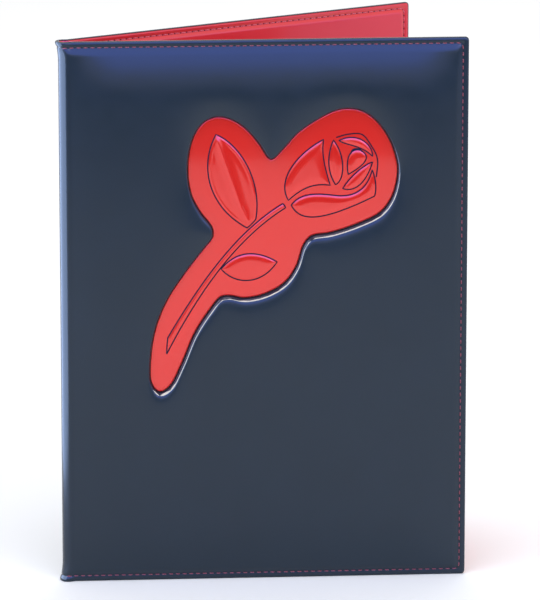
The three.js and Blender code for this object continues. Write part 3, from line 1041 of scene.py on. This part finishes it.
@dataclass
class Stitching:
    """A lock-stitched seam: separate short stitches along the hem of one face of a cover."""

    frame: CoverFrame
    side: Side
    outside: bool
    pitch: float = 3.95
    length: float = 2.65
    thickness: float = 0.7
    proud: float = 0.62
    sink: float = 0.42
    stations: int = 9
    sides: int = 8
    corner: float = 3.0
    hole: float = 0.42
    hole_middle: float = 0.05
    hole_depth: float = 0.12
    hole_rim: float = 0.05
    hole_crown: float = 0.07

    @property
    def away(self) -> float:
        """Sign of the depth on the face's free side."""
        return -1.0 if self.outside else 1.0

    def path(self) -> tuple[Array, Array]:
        """The seam from the fold along the top, down the free edge and back along the bottom.

        Returns:
            Distance along the seam, and the points (s, z) there.
        """
        frame, inset, corner = self.frame, self.frame.hem, self.corner
        turn = np.linspace(0, pi / 2, 12)
        right, high = frame.width - inset, frame.height - inset
        points = np.concatenate([
            [[-frame.half_fold, high]],
            pairs(right - corner + corner * np.sin(turn), high - corner + corner * np.cos(turn)),
            pairs(right - corner + corner * np.cos(turn), inset + corner - corner * np.sin(turn)),
            [[-frame.half_fold, inset]]])
        along = np.concatenate([[0], np.cumsum(np.linalg.norm(np.diff(points, axis=0), axis=1))])
        return along, points

    def seam_at(self, at: Array) -> tuple[Array, Array]:
        """The seam's s and z at distances along it."""
        along, points = self.path()
        return np.interp(at, along, points[:, 0]), np.interp(at, along, points[:, 1])

    def build(self, depth_at: DepthAt) -> Object:
        """Build the stitches on a face, and the needle holes between them.

        Each stitch is a grid of rings: its radius is half the thickness times (1 - u^4)^(1/2) for u
        from -1 to 1 along it, and its middle line sinks by sink times u^4 into the needle holes.

        Args:
            depth_at: Function of s and z that gives the face's depth.

        Returns:
            The stitches' object.
        """
        seam = self.path()[0][-1]
        count = int((seam - self.pitch) // self.pitch)
        middle = (np.arange(count) + 0.5) * self.pitch + (seam - count * self.pitch) / 2
        stations, sides = self.stations, self.sides
        u = np.linspace(-0.985, 0.985, stations)
        at = middle[:, None] + u * self.length / 2
        s, z = self.seam_at(at)
        (s_before, z_before), (s_after, z_after) = self.seam_at(at - 0.1), self.seam_at(at + 0.1)
        ds, dz = s_after - s_before, z_after - z_before
        norm = np.hypot(ds, dz)
        face = depth_at(s.ravel(), z.ravel()).reshape(s.shape)
        radius = self.thickness / 2 * np.sqrt(1 - u**4)
        centre = face + self.away * (self.proud * self.thickness / 2 - self.sink * u**4)
        v = np.linspace(0, 2 * pi, sides, endpoint=False)
        wide = radius[None, :, None] * np.cos(v)
        ring_s = s[..., None] + (-dz / norm)[..., None] * wide
        ring_z = z[..., None] + (ds / norm)[..., None] * wide
        ring_depth = centre[..., None] + radius[None, :, None] * np.sin(v)
        placed = self.frame.place(self.side, ring_s.ravel(), ring_z.ravel(), ring_depth.ravel())
        base = (np.arange(count) * stations * sides)[:, None, None]
        ring = base + np.arange(stations - 1)[None, :, None] * sides
        k = np.arange(sides)[None, None, :]
        after = (k + 1) % sides
        quads = np.stack([ring + k, ring + after, ring + sides + after, ring + sides + k], -1).reshape(-1, 4)
        first, last = np.arange(sides)[::-1], np.arange(sides) + (stations - 1) * sides
        caps = np.concatenate([base[:, 0] + first, base[:, 0] + last])
        way = slice(None, None, -1 if self.side is Side.BACK else 1)
        faces = quads[:, way].tolist() + caps[:, way].tolist()
        threads = len(faces)
        hole_points, hole_faces = self.holes(depth_at, middle[:-1] + self.pitch / 2)
        faces += (hole_faces[:, way] + len(placed)).tolist()
        face_name = "outer" if self.outside else "inner"
        name = f"{self.side.value}_{face_name}_stitches"
        piece = make_mesh(name, np.concatenate([placed, hole_points]), faces)
        piece.data.polygons.foreach_set("material_index", [0] * threads + [1] * (len(faces) - threads))
        return piece

    def holes(self, depth_at: DepthAt, at: Array) -> tuple[Array, Array]:
        """The dark needle holes between the stitches: a low button in each, closed by four rings.

        Args:
            depth_at: Function of s and z that gives the face's depth.
            at: Distance of each hole along the seam.

        Returns:
            Points in the row's frame and quads.
        """
        sides, levels = self.sides, ((self.hole_middle, -self.hole_depth), (self.hole, -self.hole_depth),
                                     (self.hole, self.hole_rim), (self.hole_middle, self.hole_crown))
        turn = np.linspace(0, 2 * pi, sides, endpoint=False)
        s, z = (values[:, None] for values in self.seam_at(at))
        rows = []
        for radius, rise in levels:
            ring_s, ring_z = (s + radius * np.cos(turn)).ravel(), (z + radius * np.sin(turn)).ravel()
            depth = depth_at(ring_s, ring_z) + self.away * rise
            rows.append(self.frame.place(self.side, ring_s, ring_z, depth).reshape(len(at), sides, 3))
        placed = np.stack(rows, 1).reshape(-1, 3)
        base = (np.arange(len(at)) * len(levels) * sides)[:, None, None]
        level, k = np.arange(len(levels))[None, :, None], np.arange(sides)[None, None, :]
        lower, upper = base + level * sides, base + (level + 1) % len(levels) * sides
        after = (k + 1) % sides
        quads = np.stack([lower + k, upper + k, upper + after, lower + after], -1).reshape(-1, 4)
        return placed, (quads if self.outside else quads[:, ::-1])


# Emblem: its drawing, in millimetres from the spine's outermost line and from the lower edge


EMBLEM_OUTLINE = [
    (91, 275.3), (83, 272.3), (77, 263.5), (73.8, 248), (75.5, 231), (80.5, 220.5), (87.6, 210.6),
    (87.9, 205), (83, 198.4), (72.1, 184.2), (61, 167), (54.5, 150), (51.7, 130), (52.4, 118.7), (57, 113.4),
    (62.5, 116.5), (69.5, 130), (77, 148), (85.7, 161.7), (92, 169.2), (97, 170.2), (106, 168.6),
    (118, 170.9), (129.2, 177.4), (135.8, 187), (140, 199.5), (144.5, 204.6), (156, 206.6),
    (172, 211.8), (184.5, 218.2), (191, 227.5), (194, 241.5), (192.6, 252), (187, 264.8), (178, 275),
    (169.5, 278.8), (160, 278.5), (148.5, 273.2), (136.5, 264.9), (128.5, 256), (121.3, 249.9), (114, 259.6),
    (107, 267.8), (99.5, 273.1)]
RAISED_SHAPES = {
    "long_leaf": [(89.8, 265.2), (79.5, 246), (86, 222), (107.6, 210), (109.5, 211.6), (111.2, 213.2),
                  (112.6, 215), (116.5, 237), (104, 259), (89.8, 265.2)],
    "short_leaf": [(92.6, 186), (100, 176.5), (116, 175.5), (124.9, 189.7), (114, 196.5), (102, 197.5),
                   (92.6, 186)],
    "stem": [(61, 136), (84.5, 182), (107, 207.4), (129.8, 221.6), (129.4, 222.6), (128.8, 223.4),
             (128.2, 224.1), (104, 209.4), (84, 184), (61.6, 145.6), (61.3, 142), (61, 139), (61, 136)],
    "outer_petal": [(131.4, 225.9), (137, 231), (144, 236.4), (155.4, 234.4), (153, 243), (150, 252),
                    (151.6, 261.4), (137, 254), (124, 238), (131.4, 225.9)],
    "cup_petal": [(133, 223), (138, 213), (150, 212.6), (181, 227.6), (182.4, 232), (181.6, 238),
                  (179.6, 243.2), (177, 232), (170, 227.4), (160, 228.2), (150, 229.4), (139, 231.4),
                  (133, 223)],
    "bud_petal": [(158.4, 234.8), (163, 236), (165.4, 250), (157.2, 261), (153.6, 252), (153.4, 243),
                  (158.4, 234.8)],
    "wrap_petal": [(162.6, 232.4), (169, 230), (176, 234.6), (179.8, 247.8), (176, 246.6), (168, 241),
                   (162.6, 232.4)],
    "crown_petal": [(160.4, 260.6), (165, 257.4), (173, 258), (179.8, 251), (180, 258), (171, 266),
                    (160.4, 260.6)],
    "heart": [(165.8, 240.6), (169, 242.6), (176.6, 246.8), (176.2, 251), (174, 257.6), (162.6, 257.6),
              (165.8, 240.6)]}
BLOOM_FOLDS = (
    [(166.3, 245.6), (171, 247.6), (174.2, 251), (172.6, 255.2), (168.4, 255.2), (167.2, 251.6), (169.6, 250),
     (171.6, 252)],
    [(158.8, 262.4), (165.5, 264.2), (173.6, 264), (178.9, 257.4), (182.6, 249.4), (182, 238.8)])
MIDRIB = [(90.6, 262), (95, 249), (99.6, 236), (104, 223), (108.6, 213)]


@dataclass
class Emblem:
    """The pressed plate with a rose: a flat sheet, raised petals and leaves, and thin dark outlines."""

    frame: CoverFrame
    plate_outer: float = 0.35
    plate_inner: float = 0.95
    window_gap: float = 0.3
    shape_gap: float = 0.25
    dome: float = 0.26
    dome_run: float = 5.0
    roll: float = 0.22
    roll_run: float = 0.95
    midrib: float = 0.3
    midrib_width: float = 1.0
    midrib_run: tuple[float, float] = (0.6, 2.5)
    trough: float = 0.16
    trough_run: tuple[float, float] = (0.5, 5.0)
    rim_run: float = 1.3
    rim_depth: float = 0.9
    line_width: float = 0.72
    line_sunk: float = 0.15
    line_inner: float = -0.16
    line_outer: float = -0.06
    step: float = 0.62
    border_clear: float = 0.45

    @property
    def shift(self) -> Array:
        """From the front cover's frame to the drawing's."""
        return np.array([self.frame.reach, 0.0])

    def outline(self) -> Array:
        """The plate's outline in the front cover's frame."""
        return smooth_loop(EMBLEM_OUTLINE, 560) - self.shift

    def window(self) -> Array:
        """The window's outline, a small gap outside the plate's."""
        ring = self.outline()
        return ring + self.window_gap * ring_normals(ring)

    def rings(self, steps: int) -> dict[str, Array]:
        """Outline of each raised shape in the front cover's frame."""
        return {name: cubic_outline(curve, steps) - self.shift for name, curve in RAISED_SHAPES.items()}

    def relief_at(self, flat: Array) -> Array:
        """Height of the relief: each shape is a low dome with a narrow rolled edge, both h(1 - (1 - t)^2).

        The long leaf has a midrib, a rounded ridge of exp(-(d / w)^2) along its middle.

        Args:
            flat: Where it is read, (n, 2).

        Returns:
            The height at each point.
        """
        height = np.zeros(len(flat))
        for name, ring in self.rings(40).items():
            inside = -ring_distance(flat, ring) - self.shape_gap
            dome = 1 - (1 - np.clip(inside / self.dome_run, 0, 1)) ** 2
            roll = 1 - (1 - np.clip(inside / self.roll_run, 0, 1)) ** 2
            height = np.maximum(height, self.dome * dome + self.roll * roll)
            if name == "long_leaf":
                line = np.array(MIDRIB) - self.shift
                gap = np.abs(ring_distance(flat, np.concatenate([line, line[::-1]])))
                ridge = self.midrib * np.exp(-((gap / self.midrib_width) ** 2))
                height += ease(inside, *self.midrib_run) * (ridge - self.trough * ease(gap, *self.trough_run))
        return height

    def build_plate(self) -> Object:
        """Build the plate: its outline, a fine grid inside, the relief on its face and a flat back.

        Its rim rolls inwards on the low side by depth times 1 - (1 - (1 - t)^2)^(1/2).

        Returns:
            The plate's object.
        """
        outline = even_ring(self.outline(), 640)
        low, high = outline.min(0), outline.max(0)
        s, z = np.meshgrid(np.arange(low[0], high[0], self.step), np.arange(low[1], high[1], self.step))
        grid = pairs(s.ravel(), z.ravel())
        grid = grid[ring_distance(grid, outline) < -self.border_clear * self.step]
        flat, triangles = triangulate(np.concatenate([outline, grid]), [np.arange(len(outline))])
        triangles = triangles[ring_distance(flat[triangles].mean(1), outline) < 0]
        t = np.clip(-ring_distance(flat, outline) / self.rim_run, 0, 1)
        rim = self.rim_depth * low_side(flat, outline) * (1 - np.sqrt(1 - (1 - t) ** 2))
        face = self.plate_outer - self.relief_at(flat) + rim
        sheet = CoverSheet(self.frame, Side.FRONT)
        plate = sheet.build("emblem_pressed_plate", face, self.plate_inner + rim, flat, triangles)
        return plate

    def ribbon(self, path: Array, closed: bool) -> tuple[Array, Array]:
        """A thin flat ribbon along a path on the plate.

        Args:
            path: Its middle line, (n, 2).
            closed: Whether the last point joins the first.

        Returns:
            Points in the row's frame and quads.
        """
        half, count = self.line_width / 2, len(path)
        normal = ring_normals(path)
        if not closed:
            normal[0], normal[-1] = normal[1], normal[-2]
        corners = ((-half, self.line_sunk), (-half, self.line_inner), (half, self.line_outer),
                   (half, self.line_sunk))
        rows = []
        for grow, depth in corners:
            s, z = (path + grow * normal).T
            rows.append(self.frame.place(Side.FRONT, s, z, np.full(count, self.plate_outer + depth)))
        k = np.arange(count if closed else count - 1)
        after = (k + 1) % count
        quads = [np.stack([a * count + k, b * count + k, b * count + after, a * count + after], 1)
                 for a, b in ((0, 1), (1, 2), (2, 3), (3, 0))]
        if not closed:
            ends = np.arange(4) * count
            quads += [ends[None, ::-1], ends[None] + count - 1]
        return np.concatenate(rows), np.concatenate(quads)

    def build_lines(self) -> Object:
        """Build the dark outlines: a thin ribbon along each raised shape's edge, and the bloom's folds.

        Returns:
            The lines' object.
        """
        ribbons = [self.ribbon(ring, True) for ring in self.rings(28).values()]
        ribbons += [self.ribbon(open_curve(fold, 36) - self.shift, False) for fold in BLOOM_FOLDS]
        starts = np.cumsum([0] + [len(points) for points, _ in ribbons])
        faces = np.concatenate([quads + start for (_, quads), start in zip(ribbons, starts)])
        points = np.concatenate([points for points, _ in ribbons])
        lines = make_mesh("emblem_linework", points, faces, smooth=False)
        return lines


# Stage


@dataclass(frozen=True)
class Lamp:
    """One soft area lamp, or a card that only shows in reflections. Lengths are in metres."""

    name: str
    spot: Spot
    aim: Spot
    size: tuple[float, float]
    power: float
    colour: str
    mirror_only: bool = False

    def build(self) -> None:
        """Place the lamp and turn it to its aim."""
        data = bpy.data.lights.new(self.name, "AREA")
        data.shape = "RECTANGLE"
        data.size, data.size_y = self.size
        data.energy = self.power
        data.color = linear(self.colour)[:3]
        lamp = bpy.data.objects.new(self.name, data)
        lamp.location = self.spot
        lamp.rotation_euler = (Vector(self.aim) - Vector(self.spot)).to_track_quat("-Z", "Y").to_euler()
        lamp.visible_diffuse = not self.mirror_only
        lamp.visible_camera = False
        bpy.context.scene.collection.objects.link(lamp)


MIDDLE = (0.0, 0.0, 0.16)
LAMPS = (
    Lamp("overhead_light", (-0.2, -0.55, 1.8), MIDDLE, (0.95, 0.7), 12.0, "#e4ebff"),
    Lamp("fill_light", (1.3, -1.8, 1.3), MIDDLE, (1.4, 1.2), 9.0, "#ffffff"),
    Lamp("rear_light", (0.3, 1.5, 1.7), (0, 0, 0.1), (1.6, 1.0), 10.0, "#ffffff"),
    Lamp("sky_card", (0.0, -1.58, 1.46), (0, 0, 1.46), (3.4, 2.24), 118.0, "#4a72ff", mirror_only=True),
    Lamp("left_card", (-0.33, -0.1, 0.25), (0, -0.1, 0.25), (0.5, 0.6), 9.0, "#b3ceff", mirror_only=True),
    Lamp("right_card", (1.5, -0.6, 0.3), (0, -0.3, 0.3), (1.8, 1.8), 7.0, "#4a6cff", mirror_only=True))


@dataclass(frozen=True)
class Stage:
    """Pale floor, soft light and the camera, in metres and degrees."""

    floor_wide: float = 1.3
    floor_front: float = -1.18
    floor_back: float = 2.8
    card_wide: float = 2.6
    card_y: float = -1.6
    card_low: float = -1.4
    card_top: float = 0.12
    camera_spot: Spot = (-0.2042, -3.1243, 0.9322)
    camera_pitch: float = 13.959
    camera_turn: float = -3.883
    camera_lens: float = 330.0
    sensor: float = 36.0
    clip_end: float = 50.0
    surround: float = 0.72

    def camera(self) -> None:
        """Set the camera at the photograph's angle."""
        data = bpy.data.cameras.new("camera")
        data.sensor_fit = "VERTICAL"
        data.sensor_height = self.sensor
        data.lens = self.camera_lens
        data.clip_end = self.clip_end
        camera = bpy.data.objects.new("camera", data)
        camera.location = self.camera_spot
        camera.rotation_euler = (radians(90 - self.camera_pitch), 0.0, radians(self.camera_turn))
        bpy.context.scene.collection.objects.link(camera)
        bpy.context.scene.camera = camera

    def plane(self, name: str, corners: list[Spot], colour: str) -> Object:
        """A flat stage card.

        Args:
            name: The card's name.
            corners: Its four corners, in metres.
            colour: Its sRGB hex colour.

        Returns:
            The card.
        """
        card = make_mesh(name, np.array(corners) / MM, [[0, 1, 2, 3]], smooth=False)
        card.data.materials.append(MattCard(name, colour).build())
        return card

    def floor(self) -> None:
        """A pale table top, and a dim card beyond its front edge that only reflections see."""
        wide, front, back = self.floor_wide, self.floor_front, self.floor_back
        corners = [(-wide, front, 0), (wide, front, 0), (wide, back, 0), (-wide, back, 0)]
        self.plane("floor", corners, "#ffffff")
        wide, y, low, high = self.card_wide, self.card_y, self.card_low, self.card_top
        corners = [(-wide, y, low), (wide, y, low), (wide, y, high), (-wide, y, high)]
        card = self.plane("dim_wall", corners, "#090a0c")
        card.visible_camera = False
        card.visible_shadow = False
        card.visible_diffuse = False

    def world(self) -> None:
        """A pale surround: white where the camera and mirrors look, dimmer where it lights."""
        world = bpy.data.worlds.new("surround")
        world.use_nodes = True
        tree = world.node_tree
        tree.nodes.clear()
        rays = add_node(tree, "ShaderNodeLightPath").outputs
        seen = rays["Is Camera Ray"]
        for kind in ("Is Glossy Ray", "Is Transmission Ray"):
            both = {0: seen, 1: rays[kind]}
            seen = add_node(tree, "ShaderNodeMath", both, operation="ADD", use_clamp=True).outputs[0]
        span = {"Value": seen, "To Min": self.surround, "To Max": 1.0}
        strength = add_node(tree, "ShaderNodeMapRange", span).outputs[0]
        surround = add_node(tree, "ShaderNodeBackground", {"Color": (1, 1, 1, 1), "Strength": strength})
        add_node(tree, "ShaderNodeOutputWorld", {"Surface": surround.outputs[0]})
        bpy.context.scene.world = world

    def build(self) -> None:
        """Set up the whole stage."""
        bpy.context.scene.view_settings.view_transform = "Standard"
        self.camera()
        self.floor()
        self.world()
        for lamp in LAMPS:
            lamp.build()


FINISHES = {
    # Near-black navy skin whose satin sheen picks up the sky along the upper edge
    "leather": Leatherette("navy_leatherette", "#182736", "#1b2b3c", 0.22, 0.08, 0.14, specular=0.33),
    # The same kind of skin in red, glossier, so that it shows soft pale streaks
    "lining": Leatherette("red_leatherette_lining", "#d2222a", "#d82a32", 0.32, 0.5, 0.12,
                          grain_depth_mm=0.008),
    # Bright even red with a hard clear glint along each raised edge
    "plate": LacqueredMetal("red_lacquered_metal", "#e3231c", 0.2, 0.16, 0.05),
    # Broken dull red dashes along the hem
    "outer_thread": SewingThread("dull_red_thread", "#964650", "#6c2f38"),
    # Red thread painted pale pink, a painted highlight of glare, so that the dashes stand out from the lining
    "inner_thread": SewingThread("red_thread_with_painted_glare", "#e08088", "#b84a54"),
    # Dark dots between the stitches
    "hole": PlainBody("needle_hole_shadow", "#0a0d12", 0.9, 0.3, 0.01),
    # Thin navy drawing that stays dark at every angle
    "line": PlainBody("dark_enamel", "#12152b", 0.5, 0.4, 0.01, specular=0.1),
    # Off-white, soft and rough
    "foam": PlainBody("polyurethane_foam", "#dcd8cc", 0.95, 0.5, 0.2),
    # Warm grey, finely speckled
    "board": PlainBody("grey_board", "#8f8878", 0.9, 0.9, 0.05),
    # Pale and faintly rough
    "tape": PlainBody("foam_tape", "#e6e4dc", 0.8, 0.6, 0.05)}
HIDDEN = {
    "front_cover_foam": "foam", "back_cover_foam": "foam", "front_cover_board": "board",
    "back_cover_board": "board", "emblem_tape": "tape"}
REPLACED = {
    Side.FRONT: {
        "wrap": ("front_cover_leather", "spine_leather"),
        "lining": ("front_cover_lining", "spine_lining"),
        "outer": ("front_cover_outer_thread", "spine_top_outer_thread", "spine_bottom_outer_thread"),
        "inner": ("front_cover_inner_thread", "spine_top_inner_thread", "spine_bottom_inner_thread")},
    Side.BACK: {
        "wrap": ("back_cover_leather",), "lining": ("back_cover_lining",),
        "outer": ("back_cover_outer_thread",), "inner": ("back_cover_inner_thread",)}}


def dress(piece: Object, material: bpy.types.Material) -> None:
    """Give a piece one material, and leave a new mesh's face slots as they are.

    Args:
        piece: The mesh to dress.
        material: What it gets.
    """
    if piece.data.materials:
        piece.data.materials.clear()
    piece.data.materials.append(material)


def build_cover(cover: CoverFrame, side: Side, window: Array | None, finishes: dict) -> None:
    """Build the wrap, the lining and both seams of a cover, shaped round its half of the fold.

    Args:
        cover: The cover's sizes.
        side: Which cover.
        window: Outline of the window in its wrap, if it has one.
        finishes: The materials by the names in FINISHES.
    """
    wrap, lining = Wrap(cover, side, window), Lining(cover, side)
    pieces = {
        "wrap": (wrap.build(), "leather"),
        "lining": (lining.build(), "lining"),
        "outer": (Stitching(cover, side, True).build(wrap.outer), "outer_thread"),
        "inner": (Stitching(cover, side, False).build(lining.inner), "inner_thread")}
    for kind, (piece, finish) in pieces.items():
        dress(piece, finishes[finish])
        if kind in ("outer", "inner"):
            piece.data.materials.append(finishes["hole"])
        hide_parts(*REPLACED[side][kind])
        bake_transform(piece)
        LOG.info("%s: %d faces", piece.name, len(piece.data.polygons))


def main() -> None:
    """Build the stage, the sheets, the seams and the emblem, and dress the hidden layers."""
    logging.basicConfig(level=logging.INFO, format="%(message)s")
    Stage().build()
    cover = CoverFrame()
    emblem = Emblem(cover)
    finishes = {name: finish.build() for name, finish in FINISHES.items()}
    for side, window in ((Side.FRONT, emblem.window()), (Side.BACK, None)):
        build_cover(cover, side, window, finishes)
    plate = emblem.build_plate()
    dress(plate, finishes["plate"])
    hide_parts("emblem_plate")
    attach(plate, "front_cover")
    LOG.info("%s: %d faces", plate.name, len(plate.data.polygons))
    lines = emblem.build_lines()
    dress(lines, finishes["line"])
    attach(lines, "front_cover")
    LOG.info("%s: %d faces", lines.name, len(lines.data.polygons))
    for node, finish in HIDDEN.items():
        dress(bpy.data.objects[node], finishes[finish])
        LOG.info("%s dressed in %s", node, finishes[finish].name)


if __name__ == "__main__":
    main()
